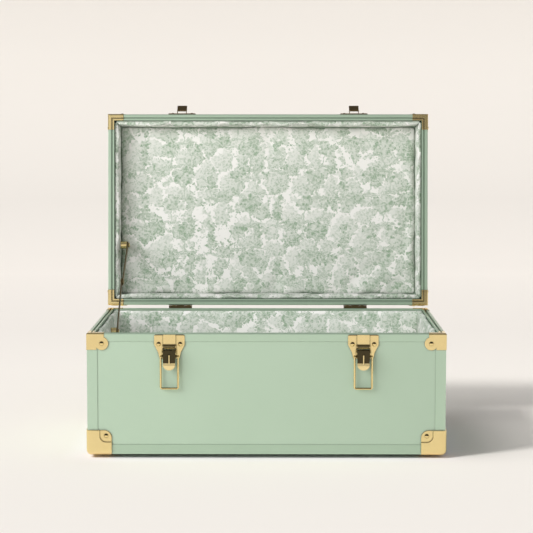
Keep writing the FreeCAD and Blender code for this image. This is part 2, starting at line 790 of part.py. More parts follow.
def rod(label, x, y, z, length, axis):
    """A straight run of the bail's wire from a point, along an axis."""
    run = doc.addObject("Part::Cylinder", label)
    bind(run, "Radius", wire_radius)
    bind(run, "Height", length)
    if axis == "X":
        run.Placement.Rotation = FreeCAD.Rotation(FreeCAD.Vector(0, 0, 1), FreeCAD.Vector(1, 0, 0))
    return place(run, x, y, z)


def bend(label, x, y, z, quarter):
    """A quarter turn of the wire about a point. Quarters are counted from +X towards +Z."""
    turn = doc.addObject("Part::Torus", label)
    bind(turn, "Radius1", bail_bend)
    bind(turn, "Radius2", wire_radius)
    turn.Angle3 = 90
    stand = FreeCAD.Rotation(FreeCAD.Vector(1, 0, 0), 90)
    spin = FreeCAD.Rotation(FreeCAD.Vector(0, 1, 0), -90 * quarter)
    turn.Placement = FreeCAD.Placement(FreeCAD.Vector(0, 0, 0), spin.multiply(stand))
    return place(turn, x, y, z)


def elbow(label, x, y, z):
    """The close right angle by which the wire turns in to the lever."""
    ball = doc.addObject("Part::Sphere", label)
    bind(ball, "Radius", wire_radius)
    return place(ball, x, y, z)


def latch_bail(label):
    """Round wire bent to a long loop, its two ends turned in to the lever's cheeks."""
    end_x = lever_half - lever_sheet
    near = bail_half - bail_bend
    high, low = -1 * bail_level, -1 * (bail_level + bail_reach)
    side = bail_reach - bail_bend
    wire = doc.addObject("Part::MultiFuse", label)
    wire.Shapes = [
        rod(f"{label}_right_end", end_x, -1 * bail_out, high, bail_half - end_x, "X"),
        rod(f"{label}_left_end", -1 * bail_half, -1 * bail_out, high, bail_half - end_x, "X"),
        rod(f"{label}_right_side", bail_half, -1 * bail_out, low + bail_bend, side, "Z"),
        rod(f"{label}_left_side", -1 * bail_half, -1 * bail_out, low + bail_bend, side, "Z"),
        rod(f"{label}_bar", -1 * near, -1 * bail_out, low, 2 * near, "X"),
        elbow(f"{label}_right_elbow", bail_half, -1 * bail_out, high),
        elbow(f"{label}_left_elbow", -1 * bail_half, -1 * bail_out, high),
        bend(f"{label}_bend_2", -1 * near, -1 * bail_out, low + bail_bend, 2),
        bend(f"{label}_bend_3", near, -1 * bail_out, low + bail_bend, 3),
    ]
    return wire


latch_pins = []
for side, way in (("left", -1), ("right", 1)):
    centre = way * latch_spacing / 2
    latch_top = rim_height - latch_drop
    at = (centre, front, latch_top)
    node(f"{side}_latch_plate", place(latch_plate(f"{side}_latch_plate"), *at))
    node(f"{side}_latch_lever", place(latch_lever(f"{side}_latch_lever"), *at))
    node(f"{side}_latch_bail", place(latch_bail(f"{side}_latch_bail"), *at))
    pin = new_body(f"{side}_latch_pin_shape")
    pin_half = ear_inner + ear_sheet + seat_gap
    section = ("circle", -1 * lever_pivot_out, -1 * lever_pivot_down, pivot_pin_radius)
    prism(pin, "YZ", [section], -1 * pin_half, pin_half)
    latch_pins.append(place(pin, *at))
group("latch_pivot_pins", latch_pins)

# Catches on the lid: a plate with a flared tongue on two cheeks. With the lid shut and the lever
# down, the bail's cross wire lies in the crook behind the tongue, on the cheeks
catch_half = cell("catch_half", 25.9)
catch_low = cell("catch_low", 3.2)
catch_high = cell("catch_high", 27.0)
catch_sheet = cell("catch_sheet", 2.0)
catch_round = cell("catch_round", 4.0)
hook_half = cell("hook_half", 9.2)
hook_cheek = cell("hook_cheek", 1.2)
hook_crook = cell("hook_crook", 4.3)
hook_sheet = cell("hook_sheet", 1.6)
hook_foot = cell("hook_foot", 6.5)
tongue_rise = cell("tongue_rise", 9.5)
tongue_flare = cell("tongue_flare", 10.1)
wire_rest = latch_drop + bail_level - bail_reach
saddle = rim_height - pin_z - wire_rest - wire_radius - seat_gap


def catch_body(label, centre):
    """Drawn from the hinge axis, with the lid shut."""
    body = new_body(label)
    low_x, high_x = centre - catch_half, centre + catch_half
    outline = [
        (low_x + catch_round, catch_low),
        (high_x - catch_round, catch_low, catch_round, 1),
        (high_x, catch_low + catch_round),
        (high_x, catch_high - catch_round, catch_round, 1),
        (high_x - catch_round, catch_high),
        (low_x + catch_round, catch_high, catch_round, 1),
        (low_x, catch_high - catch_round),
        (low_x, catch_low + catch_round, catch_round, 1),
    ]
    plate_face = lid_front - catch_sheet
    prism(body, "XZ", [outline], plate_face, lid_front)
    behind = plate_face - hook_crook
    tongue_foot = saddle - hook_foot
    tip = saddle + wire_radius
    tongue = [
        (behind, tongue_foot),
        (behind, tip),
        (behind - tongue_flare, tip + tongue_rise),
        (behind - tongue_flare - hook_sheet, tip + tongue_rise - hook_sheet),
        (behind - hook_sheet, tip - hook_sheet),
        (behind - hook_sheet, tongue_foot),
    ]
    prism(body, "YZ", [tongue], centre - hook_half, centre + hook_half)
    cheek = rectangle(behind - hook_sheet / 2, tongue_foot, plate_face + hook_cheek / 2, saddle)
    for way in (-1, 1):
        prism(body, "YZ", [cheek], centre + way * hook_half, centre + way * (hook_half - hook_cheek))
    return body


for side, way in (("left", -1), ("right", 1)):
    centre = way * latch_spacing / 2
    on_lid(f"{side}_catch", [catch_body(f"{side}_catch_shape", centre)])

# Liner: padded, fabric-covered panels. Side pads run round with mitred corners; a flat pad lies
# between them. Their edges are rounded
pad_start = rim_width + seat_gap
pad_face = cell("pad_face", 21.0)
base_pad_drop = cell("base_pad_drop", 0.6)
lid_pad_drop = cell("lid_pad_drop", 2.5)
pad_round = cell("pad_round", 4.4)
flat_pad = cell("flat_pad", 8.0)


def side_pad_profile(rim_level, down, floor_level, drop):
    """A side pad's section, rounded over at the rim. drop is how far below the rim it ends."""
    top = rim_level + down * drop
    return [
        (pad_start, floor_level),
        (pad_start, top + down * pad_round, pad_round, down),
        (pad_start + pad_round, top),
        (pad_face - pad_round, top, pad_round, down),
        (pad_face, top + down * pad_round),
        (pad_face, floor_level),
    ]


def flat_pad_body(label, y_front, back_level, face_level):
    body = new_body(label)
    gap = pad_face + seat_gap
    edges = rectangle(left + gap, y_front + gap, -1 * left - gap, y_front + trunk_depth - gap)
    prism(body, "XY", [edges], back_level, face_level)
    level = number(face_level)
    flat = number(seat_gap)
    round_edges(body, pad_round, lambda edge: all(abs(v.Z - level) < flat for v in edge.Vertexes))
    return body


base_pad_profile = side_pad_profile(rim_height, -1, board, base_pad_drop)
base_pads = mitred_lengths("base_pad", base_pad_profile, front, 0, pad_face)
for side, piece in base_pads.items():
    group(f"base_{side}_liner", [piece])
group("base_floor_liner", [flat_pad_body("base_floor_pad", front, board, board + flat_pad)])
lid_pad_profile = side_pad_profile(lid_rim, 1, lid_board_face, lid_pad_drop)
lid_pads = mitred_lengths("lid_pad", lid_pad_profile, lid_front, lid_middle, pad_face)
for side, piece in lid_pads.items():
    on_lid(f"lid_{side}_liner", [piece])
lid_pad_shape = flat_pad_body("lid_top_pad", lid_front, lid_board_face, lid_board_face - flat_pad)
on_lid("lid_top_liner", [lid_pad_shape])

# Stay: two equal links on the left, joined at a knuckle that stands just over centre when the lid
# is open. Each is held off the liner by a drum. The two lie side by side, clear of each other
stay_base_y = cell("stay_base_y", 19.0)
stay_base_down = cell("stay_base_down", 23.5)
stay_lid_reach = cell("stay_lid_reach", 119.0)
stay_lid_inset = cell("stay_lid_inset", 25.0)
link_length = cell("link_length", 124.0)
link_half = cell("link_half", 6.0)
link_end = cell("link_end", 6.8)
link_sheet = cell("link_sheet", 2.0)
drum_radius = cell("drum_radius", 7.0)
drum_length = cell("drum_length", 10.8)
stud_radius = cell("stud_radius", 2.5)
stud_head = cell("stud_head", 4.6)
knuckle_radius = cell("knuckle_radius", 2.2)
knuckle_head = cell("knuckle_head", 4.2)
knuckle_rise = cell("knuckle_rise", 0.9)
layer_gap = cell("layer_gap", 0.3)

liner_face = left + pad_face
lower_layer = liner_face + drum_length
upper_layer = lower_layer + link_sheet + layer_gap
stay_base_z = rim_height - stay_base_down
lid_pivot_y = pin_y - stay_lid_reach * cosine(open_angle) + stay_lid_inset * sine(open_angle)
lid_pivot_z = pin_z + stay_lid_reach * sine(open_angle) + stay_lid_inset * cosine(open_angle)
span_y = lid_pivot_y - stay_base_y
span_z = lid_pivot_z - stay_base_z
span = root(span_y * span_y + span_z * span_z)
over_centre = arc_cosine(span / (2 * link_length))
lower_slope = direction(span_z, span_y) + over_centre
upper_slope = direction(span_z, span_y) - over_centre
half_turn = cell("half_turn", 180.0)


def stay_link(label):
    """A strap from its bracket pivot at the origin to its knuckle, along +Y."""
    body = new_body(label)
    prism(body, "YZ", [rectangle(0, -1 * link_half, link_length, link_half)], 0, link_sheet)
    for y, hole in ((0, stud_radius), (link_length, knuckle_radius)):
        prism(body, "YZ", [("circle", y, 0, link_end)], 0, link_sheet)
        prism(body, "YZ", [("circle", y, 0, hole + running_fit)], 0, link_sheet, cut=True)
    return body


def drum_bracket(label, y, z, start, end):
    """A drum standing on the liner, which carries the stay's stud."""
    body = new_body(label)
    prism(body, "YZ", [("circle", y, z, drum_radius)], start, end)
    return body


def stud(label, y, z, start, end):
    """A shank through a link, with a head clear of it."""
    body = new_body(label)
    prism(body, "YZ", [("circle", y, z, stud_radius)], start, end + layer_gap)
    prism(body, "YZ", [("circle", y, z, stud_head)], end + layer_gap, end + layer_gap + stud_head / 2)
    return body


lower_place = (lower_layer + layer_gap, stay_base_y, stay_base_z, lower_slope)
node("stay_lower_link", place(stay_link("stay_lower_strap"), *lower_place))
upper_place = (upper_layer + layer_gap, lid_pivot_y, lid_pivot_z, upper_slope + half_turn)
node("stay_upper_link", place(stay_link("stay_upper_strap"), *upper_place))
node("stay_base_bracket", drum_bracket("stay_base_drum", stay_base_y, stay_base_z, liner_face, lower_layer))
base_stud_end = lower_layer + layer_gap + link_sheet
node("stay_base_pin", stud("stay_base_stud", stay_base_y, stay_base_z, lower_layer, base_stud_end))
lid_drum = drum_bracket("stay_lid_drum", -1 * stay_lid_reach, stay_lid_inset, liner_face, upper_layer)
on_lid("stay_lid_bracket", [lid_drum])
lid_stud_end = upper_layer + layer_gap + link_sheet
lid_stud = stud("stay_lid_stud", -1 * stay_lid_reach, stay_lid_inset, upper_layer, lid_stud_end)
on_lid("stay_lid_pin", [lid_stud])

# The knuckle's rivet is in two halves, one on each link, which meet between the layers
knuckle_y = stay_base_y + link_length * cosine(lower_slope)
knuckle_z = stay_base_z + link_length * sine(lower_slope)


def knuckle_half(label, inner, outer, head_end):
    """Half of the knuckle's rivet: a shank in one link and a head on its open side."""
    body = new_body(label)
    prism(body, "YZ", [("circle", knuckle_y, knuckle_z, knuckle_radius)], inner, outer)
    prism(body, "YZ", [("circle", knuckle_y, knuckle_z, knuckle_head)], outer, head_end)
    return body


lower_inner = lower_layer + layer_gap + link_sheet
lower_outer = lower_layer + layer_gap
outer_half = knuckle_half("knuckle_outer_half", lower_inner, lower_outer, lower_outer - knuckle_rise)
node("stay_knuckle_rivet", outer_half)
upper_inner = upper_layer + layer_gap
upper_face = upper_inner + link_sheet
inner_half = knuckle_half("knuckle_inner_half", upper_inner, upper_face, upper_face + knuckle_rise)
node("stay_knuckle_cap", inner_half)

doc.recompute()

for thing in doc.Objects:
    if any(word in thing.State for word in ("Invalid", "Error")):
        raise RuntimeError(f"{thing.Label} failed: {thing.State}")
os.makedirs("parts", exist_ok=True)
for thing in nodes:
    shape = thing.Shape
    if shape.isNull() or not shape.isValid() or not shape.Solids:
        raise RuntimeError(f"{thing.Label} has no valid shape")
for thing in nodes:
    thing.Shape.exportStep(f"parts/{thing.Label}.step")
print(len(nodes), "sub-parts written")
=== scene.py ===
import math
import random

import bmesh
import bpy
from mathutils import Matrix, Vector


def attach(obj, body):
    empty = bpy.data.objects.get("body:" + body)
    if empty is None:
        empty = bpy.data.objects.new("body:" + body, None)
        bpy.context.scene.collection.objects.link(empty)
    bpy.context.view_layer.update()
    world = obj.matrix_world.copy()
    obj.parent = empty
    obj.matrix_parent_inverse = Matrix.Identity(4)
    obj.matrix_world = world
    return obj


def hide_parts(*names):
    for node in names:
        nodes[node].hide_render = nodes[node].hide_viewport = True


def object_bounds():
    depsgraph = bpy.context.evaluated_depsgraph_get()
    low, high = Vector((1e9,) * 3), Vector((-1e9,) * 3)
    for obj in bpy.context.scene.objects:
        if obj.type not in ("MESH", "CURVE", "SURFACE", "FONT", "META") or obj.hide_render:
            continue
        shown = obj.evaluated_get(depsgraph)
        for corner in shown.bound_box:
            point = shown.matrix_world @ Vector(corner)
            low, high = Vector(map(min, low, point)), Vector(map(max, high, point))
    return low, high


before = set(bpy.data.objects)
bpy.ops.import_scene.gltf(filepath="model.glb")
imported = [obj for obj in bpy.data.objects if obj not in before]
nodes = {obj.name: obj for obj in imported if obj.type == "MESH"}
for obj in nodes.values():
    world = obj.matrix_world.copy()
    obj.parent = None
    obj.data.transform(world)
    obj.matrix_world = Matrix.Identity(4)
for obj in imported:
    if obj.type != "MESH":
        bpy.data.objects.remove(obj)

# A lidded trunk, standing open. Everything is in metres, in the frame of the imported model:
# +X to the right of someone facing the latches, +Y to the hinges, +Z up.
cad_bounds = [list(corner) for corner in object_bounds()]
table = bpy.context.scene.collection

# ---- The view ----
# A long lens a little above the rim, tipped slightly down. The angles and the distance were
# worked out from the edges of the box.
lens = bpy.data.cameras.new("front_view")
lens.lens = 115.63
lens.sensor_width = 36
lens.clip_end = 60
front_view = bpy.data.objects.new("front_view", lens)
front_view.location = (0.02144, -3.0598, 0.5933)
front_view.rotation_euler = (math.radians(90 - 5.409), 0, math.radians(0.422))
table.objects.link(front_view)
bpy.context.scene.camera = front_view
bpy.context.scene.view_settings.view_transform = "Standard"

# ---- Floor and backdrop ----
# One wide roll of warm white paper: flat under the trunk, then curved up behind it.
# The trunk's rubber feet stand on it.
FLOOR = min(corner[2] for corner in cad_bounds)
SWEEP_HALF, SWEEP_NEAR, SWEEP_FAR, SWEEP_TOP, SWEEP_ROUND = 40.0, -40.0, 5.0, 2.8, 2.0
CURVE_STEPS = 16


def tool(finish, kind, values=None, links=None, **settings):
    """Adds one shader node to a finish, with set sockets, linked sockets and its own settings."""
    made = finish.node_tree.nodes.new(kind)
    for name, value in settings.items():
        setattr(made, name, value)
    for socket, value in (values or {}).items():
        made.inputs[socket].default_value = value
    for socket, source in (links or {}).items():
        finish.node_tree.links.new(source, made.inputs[socket])
    return made


def new_finish(name, roughness, metallic=0.0, colour=None):
    """A finish and its shader."""
    finish = bpy.data.materials.new(name)
    finish.use_nodes = True
    shader = finish.node_tree.nodes["Principled BSDF"]
    shader.inputs["Roughness"].default_value = roughness
    shader.inputs["Metallic"].default_value = metallic
    if colour:
        shader.inputs["Base Color"].default_value = (*colour, 1)
    return finish, shader


def feed(finish, source, shader, socket):
    finish.node_tree.links.new(source, shader.inputs[socket])


def blend_of(finish, share, low, high):
    """A colour that runs from low to high with a share between 0 and 1."""
    mixed = tool(finish, "ShaderNodeMix", data_type="RGBA")
    mixed.inputs[6].default_value = (*low, 1)
    mixed.inputs[7].default_value = (*high, 1)
    finish.node_tree.links.new(share, mixed.inputs[0])
    return mixed.outputs[2]


def place_in(finish):
    """Where a point is on the piece itself, in metres."""
    return tool(finish, "ShaderNodeTexCoord").outputs["Object"]


def mottle(finish, scale, detail=3.0, roughness=0.5, where=None):
    noise = tool(
        finish, "ShaderNodeTexNoise", {"Scale": scale, "Detail": detail, "Roughness": roughness},
        {"Vector": where or place_in(finish)},
    )
    return noise.outputs["Fac"]


def spread(finish, source, low, high, out_low, out_high):
    ranged = tool(
        finish, "ShaderNodeMapRange",
        {"From Min": low, "From Max": high, "To Min": out_low, "To Max": out_high}, {"Value": source},
    )
    return ranged.outputs["Result"]


def relief(finish, shader, height, depth, strength=1.0, rounded=0):
    """Raises the surface by a height of the given depth in metres, and eases its edges to a radius."""
    bumped = tool(finish, "ShaderNodeBump", {"Distance": depth, "Strength": strength}, {"Height": height})
    if rounded:
        eased = tool(finish, "ShaderNodeBevel", {"Radius": rounded}, samples=4)
        finish.node_tree.links.new(eased.outputs["Normal"], bumped.inputs["Normal"])
    feed(finish, bumped.outputs["Normal"], shader, "Normal")


PAPER = (0.872, 0.824, 0.762)
PAPER_TONES = ((0.8, 1.0), (1.5, 0.95), (3.0, 0.945), (3.9, 0.842), (4.6, 0.93))
paper, paper_shader = new_finish("backdrop_paper", 0.95)
distance = tool(paper, "ShaderNodeSeparateXYZ", links={0: place_in(paper)}).outputs["Y"]
tone = tool(paper, "ShaderNodeValToRGB", links={0: spread(paper, distance, 0.0, SWEEP_FAR, 0.0, 1.0)})
stops = tone.color_ramp.elements
stops.remove(stops[1])
for place, share in PAPER_TONES:
    stops.new(place / SWEEP_FAR).color = (*(share * level for level in PAPER), 1)
stops.remove(stops[0])
# Painted shade: the paper is painted a cooler tint where the trunk stands close over it, in its contact shadow.
PAINTED_SHADE_PAPER, UNDER_REACH = (0.97, 0.93, 0.96), 0.05
beneath = tool(paper, "ShaderNodeAmbientOcclusion", {"Distance": UNDER_REACH}, samples=4).outputs["AO"]
painted_cool_shade = tool(paper, "ShaderNodeMix", {6: (*PAINTED_SHADE_PAPER, 1)}, data_type="RGBA")
paper.node_tree.links.new(spread(paper, beneath, 0.3, 1.0, 0.0, 1.0), painted_cool_shade.inputs[0])
paper.node_tree.links.new(tone.outputs["Color"], painted_cool_shade.inputs[7])
feed(paper, painted_cool_shade.outputs[2], paper_shader, "Base Color")
relief(paper, paper_shader, mottle(paper, 260), 0.0001)

profile = [(SWEEP_NEAR, FLOOR), (SWEEP_FAR - SWEEP_ROUND, FLOOR)]
for step in range(1, CURVE_STEPS):
    turn = math.pi / 2 * step / CURVE_STEPS
    profile.append((
        SWEEP_FAR - SWEEP_ROUND + SWEEP_ROUND * math.sin(turn),
        FLOOR + SWEEP_ROUND - SWEEP_ROUND * math.cos(turn),
    ))
profile += [(SWEEP_FAR, FLOOR + SWEEP_ROUND), (SWEEP_FAR, SWEEP_TOP)]
sweep_mesh = bpy.data.meshes.new("backdrop")
sweep_points = [(side * SWEEP_HALF, y, z) for y, z in profile for side in (-1, 1)]
sweep_faces = [(2 * i, 2 * i + 1, 2 * i + 3, 2 * i + 2) for i in range(len(profile) - 1)]
sweep_mesh.from_pydata(sweep_points, [], sweep_faces)
sweep_mesh.shade_smooth()
sweep_mesh.materials.append(paper)
backdrop = bpy.data.objects.new("backdrop", sweep_mesh)
table.objects.link(backdrop)

# ---- Studio light ----
# Two distant lamps at the left, a small low one and a broad high one, throw the trunk's double
# shadow to the right along the paper. A softbox at the front left lights the trunk, and two small
# ones its lining. The room is bright only low down at the front left, so the brass and the
# painted rims mirror light there and dark elsewhere.
KEY_STRENGTH, KEY_WIDTH = 1.96, 10.6
HIGH_STRENGTH, HIGH_WIDTH = 1.17, 38
FILL_STRENGTH, FILL_WIDTH, FILL_COLOUR = 0.18, 100, (0.80, 0.95, 1.45)
FRONT_POWER, LINING_POWER, WELL_POWER = 46.8, 1.6, 5.5
ROOM_BRIGHT, ROOM_DARK = 0.89, 0.25


def math_of(finish, operation, first, second=None, third=None):
    made = tool(finish, "ShaderNodeMath", operation=operation)
    for socket, value in enumerate((first, second, third)):
        if isinstance(value, (int, float)):
            made.inputs[socket].default_value = value
        elif value is not None:
            finish.node_tree.links.new(value, made.inputs[socket])
    return made.outputs[0]


def soft_step(finish, source, low, high):
    """0 at low and 1 at high, easing between them."""
    ranged = tool(
        finish, "ShaderNodeMapRange", {"From Min": low, "From Max": high}, {"Value": source},
        interpolation_type="SMOOTHSTEP",
    )
    return ranged.outputs["Result"]


def light_only(stand, on_paper):
    """Keeps a lamp to the paper, or to everything but the paper."""
    lit = bpy.data.collections.new(f"{stand.name}_reach")
    lit.objects.link(backdrop)
    lit.collection_objects[0].light_linking.link_state = "INCLUDE" if on_paper else "EXCLUDE"
    stand.light_linking.receiver_collection = lit


def lamp_at(name, kind, spot, aim, power):
    lamp = bpy.data.lights.new(name, kind)
    lamp.energy = power
    stand = bpy.data.objects.new(name, lamp)
    stand.location = spot
    stand.rotation_euler = (Vector(aim) - Vector(spot)).to_track_quat("-Z", "Y").to_euler()
    table.objects.link(stand)
    return lamp, stand


def paper_sun(name, spot, power, width, colour=(1, 1, 1)):
    sun, stand = lamp_at(name, "SUN", spot, (0, 0, 0), power)
    sun.angle = math.radians(width)
    sun.color = colour
    light_only(stand, True)


def softbox(name, spot, aim, power, wide, tall):
    box, stand = lamp_at(name, "AREA", spot, aim, power)
    box.shape = "RECTANGLE"
    box.size, box.size_y = wide, tall
    stand.visible_glossy = stand.visible_camera = False
    return stand


paper_sun("key_light", (-2.68, -1.484, 2.572), KEY_STRENGTH, KEY_WIDTH)
paper_sun("high_light", (-2.17, -0.54, 3.32), HIGH_STRENGTH, HIGH_WIDTH)
paper_sun("fill_light", (2.8, 0, 2.8), FILL_STRENGTH, FILL_WIDTH, FILL_COLOUR)
front_stand = softbox("front_softbox", (-1.8, -1.45, 1.15), (0, 0, 0.22), FRONT_POWER, 2.0, 1.6)
light_only(front_stand, False)
lining_stand = softbox("lining_softbox", (0.0, -0.6, 0.6), (0, 0.1, 0.36), LINING_POWER, 1.5, 0.5)
well_stand = softbox("well_softbox", (0.25, -0.9, 1.3), (0, 0, 0.2), WELL_POWER, 0.8, 0.8)
lining = bpy.data.collections.new("lining")
well_lining = bpy.data.collections.new("well_lining")
lining_stand.light_linking.receiver_collection = lining
well_stand.light_linking.receiver_collection = well_lining

studio = bpy.data.worlds.new("studio")
studio.use_nodes = True
bpy.context.scene.world = studio
heading = tool(studio, "ShaderNodeSeparateXYZ", links={
    "Vector": tool(studio, "ShaderNodeTexCoord").outputs["Generated"],
})
to_right = soft_step(studio, heading.outputs["X"], -0.115, 0.01)
far_left = soft_step(studio, heading.outputs["X"], -0.60, -0.90)
overhead = soft_step(studio, heading.outputs["Z"], 0.30, 0.55)
dim = math_of(studio, "MAXIMUM", math_of(studio, "MAXIMUM", to_right, far_left), overhead)
room = spread(studio, dim, 0.0, 1.0, ROOM_BRIGHT, ROOM_DARK)
glow = studio.node_tree.nodes["Background"]
glow.inputs["Color"].default_value = (1.0, 0.985, 0.965, 1)
feed(studio, room, glow, "Strength")

# ---- Boards ----
# Plywood walls, bottom and lid top, covered in sage green coated cloth with a fine even grain
# and a soft satin face.
SAGE_LOW, SAGE_HIGH = (0.462, 0.600, 0.457), (0.487, 0.625, 0.483)
cloth, cloth_shader = new_finish("coated_cloth", 0.5)
feed(cloth, blend_of(cloth, mottle(cloth, 9), SAGE_LOW, SAGE_HIGH), cloth_shader, "Base Color")
feed(cloth, spread(cloth, mottle(cloth, 45), 0.3, 0.7, 0.44, 0.56), cloth_shader, "Roughness")
relief(cloth, cloth_shader, mottle(cloth, 1400, 2), 0.00012)


def painted_crevice_shade(finish, shader, reach, deepest):
    """Paints shade into a finish's colour where another face stands close."""
    near = tool(finish, "ShaderNodeAmbientOcclusion", {"Distance": reach}, samples=6).outputs["AO"]
    shade = spread(finish, near, 0.45, 0.95, deepest, 1.0)
    source = shader.inputs["Base Color"].links[0].from_socket
    shaded = tool(finish, "ShaderNodeVectorMath", links={0: source, 1: shade}, operation="MULTIPLY")
    feed(finish, shaded.outputs[0], shader, "Base Color")


# Painted shade: the cloth is darkened beside steps and seams where other faces stand close.
painted_crevice_shade(cloth, cloth_shader, 0.004, 0.55)


def dress(prefixes, finish):
    """Puts a finish on every CAD node whose name starts with one of the prefixes."""
    for name, thing in nodes.items():
        if name.startswith(prefixes):
            thing.data.materials.clear()
            thing.data.materials.append(finish)


sides = ("front", "back", "left", "right", "bottom", "top")
dress(tuple(f"{part}_{side}_panel" for part in ("base", "lid") for side in sides), cloth)

# ---- Rims and edge bindings ----
# The rims are grooved extrusions cut to mitred lengths; the bindings are folded strips. All are aluminium in a thin
# sage green lacquer, so they mirror a little more than the boards. The strips round the bottom and the lid's top are
# painted a shade deeper: painted shade.
ENAMEL_LOW, ENAMEL_HIGH = (0.500, 0.655, 0.502), (0.525, 0.680, 0.528)
SHADED_STRIP_LOW, SHADED_STRIP_HIGH = (0.435, 0.578, 0.438), (0.460, 0.603, 0.464)


def painted_strip(name, low, high):
    finish, shader = new_finish(name, 0.31, metallic=0.45)
    feed(finish, blend_of(finish, mottle(finish, 12), low, high), shader, "Base Color")
    feed(finish, spread(finish, mottle(finish, 60), 0.3, 0.7, 0.295, 0.335), shader, "Roughness")
    relief(finish, shader, mottle(finish, 90, 1), 0.000004)
    # Painted shade: the lacquer is darkened beside steps and seams where other faces stand close.
    painted_crevice_shade(finish, shader, 0.003, 0.6)
    return finish


dress(("base_rim_channel", "lid_rim_channel", "base_corner_bindings", "lid_corner_bindings"), painted_strip(
    "painted_strip", ENAMEL_LOW, ENAMEL_HIGH,
))
# Painted shade: the bottom and lid-top strips get a deeper green than the other strips.
dress(("base_bottom_binding", "lid_top_binding"), painted_strip("painted_shade_strip", SHADED_STRIP_LOW, SHADED_STRIP_HIGH))

# ---- Brass corners, hinges and latches ----
# Pressed sheet brass, polished and lacquered, with a faint brushed grain and slightly duller
# patches where hands wear the lacquer.
BRASS_LOW, BRASS_HIGH = (0.86, 0.685, 0.325), (0.92, 0.75, 0.382)


def polished_brass(name, roughness, rounded=0.0011):
    finish, shader = new_finish(name, roughness, metallic=1.0)
    feed(finish, blend_of(finish, mottle(finish, 14, 2), BRASS_LOW, BRASS_HIGH), shader, "Base Color")
    rubbed = spread(finish, mottle(finish, 60, 3), 0.3, 0.7, roughness - 0.035, roughness + 0.05)
    feed(finish, rubbed, shader, "Roughness")
    relief(finish, shader, mottle(finish, 500, 2), 0.000008, rounded=rounded)
    return finish, shader


brass, brass_shader = polished_brass("brass", 0.17)
# Painted shade: the brass is darkened round rivets and in recesses.
painted_crevice_shade(brass, brass_shader, 0.003, 0.25)
pressed_brass, pressed_shader = polished_brass("pressed_brass", 0.2)
relief(pressed_brass, pressed_shader, mottle(pressed_brass, 30, 1), 0.0014, rounded=0.0018)
# Painted shade: the pressed brass is darkened round rivets and in recesses.
painted_crevice_shade(pressed_brass, pressed_shader, 0.003, 0.35)
dress(
    ("base_bottom_corner", "lid_top_corners", "base_rim_corners", "lid_rim_corners", "left_hinge",
     "right_hinge", "hinge_pins", "left_latch", "right_latch", "latch_pivot_pins", "left_catch",
     "right_catch", "stay"), brass,
)
dress(("base_bottom_corner", "lid_top_corners"), pressed_brass)

# ---- Latch levers and plates ----
# Each lever is a brass channel with a short rib up the middle of its sunk face. The sunk face beside the rib is
# painted dark, as painted shade and painted dark reflection, so the rib reads bright. Its lip and round tab are
# polished by the fingers. The rolled end of the strap above it, the plate's top edge beside the strap and the inside
# of the wire bail are painted dark too, as painted shade and painted dark reflection.
MM = 0.001
LEVER_ACROSS, LEVER_FACE_TOP, LEVER_FACE_FOOT = 164.4 * MM, 179.4 * MM, 157.4 * MM
# The dark brown painted onto the latches and rivets as painted shade and painted dark reflection.
PAINTED_SHADE_BRASS = (0.072, 0.058, 0.030)
RIB_TOP = LEVER_FACE_FOOT + 14 * MM
ROLL_TOP, ROLL_FOOT, STRAP_HALF = 189.0 * MM, 182.6 * MM, 10.6 * MM
PLATE_TOP = 205.0 * MM
BAIL_HALF, BAIL_FOOT = 13.8 * MM, 113.3 * MM


def latch_place(finish):
    """How far a point is from its latch's middle, and how high it is."""
    spot = tool(finish, "ShaderNodeSeparateXYZ", links={0: place_in(finish)})
    across = math_of(finish, "SUBTRACT", math_of(finish, "ABSOLUTE", spot.outputs["X"]), LEVER_ACROSS)
    return math_of(finish, "ABSOLUTE", across), spot.outputs["Z"]


def paint_shade_and_reflection(finish, shader, where):
    """Paints the brass dark where a mask is 1: painted shade and painted dark reflection."""
    darker = tool(finish, "ShaderNodeMix", {7: (*PAINTED_SHADE_BRASS, 1)}, data_type="RGBA")
    finish.node_tree.links.new(where, darker.inputs[0])
    finish.node_tree.links.new(shader.inputs["Base Color"].links[0].from_socket, darker.inputs[6])
    feed(finish, darker.outputs[2], shader, "Base Color")


lever_brass, lever_shader = polished_brass("lever_brass", 0.22)
off_middle, level = latch_place(lever_brass)
beside_rib = soft_step(lever_brass, off_middle, 0.6 * MM, 1.2 * MM)
over_rib = soft_step(lever_brass, level, RIB_TOP - 1.0 * MM, RIB_TOP + 0.5 * MM)
above_lip = soft_step(lever_brass, level, LEVER_FACE_FOOT - 0.4 * MM, LEVER_FACE_FOOT + 0.4 * MM)
sunk = math_of(lever_brass, "MULTIPLY", math_of(lever_brass, "MAXIMUM", beside_rib, over_rib), above_lip)
paint_shade_and_reflection(lever_brass, lever_shader, sunk)
feed(lever_brass, spread(lever_brass, above_lip, 0.0, 1.0, 0.4, 1.0), lever_shader, "Metallic")
# Painted shade in the lever's recesses.
painted_crevice_shade(lever_brass, lever_shader, 0.003, 0.3)
dress(("left_latch_lever", "right_latch_lever"), lever_brass)

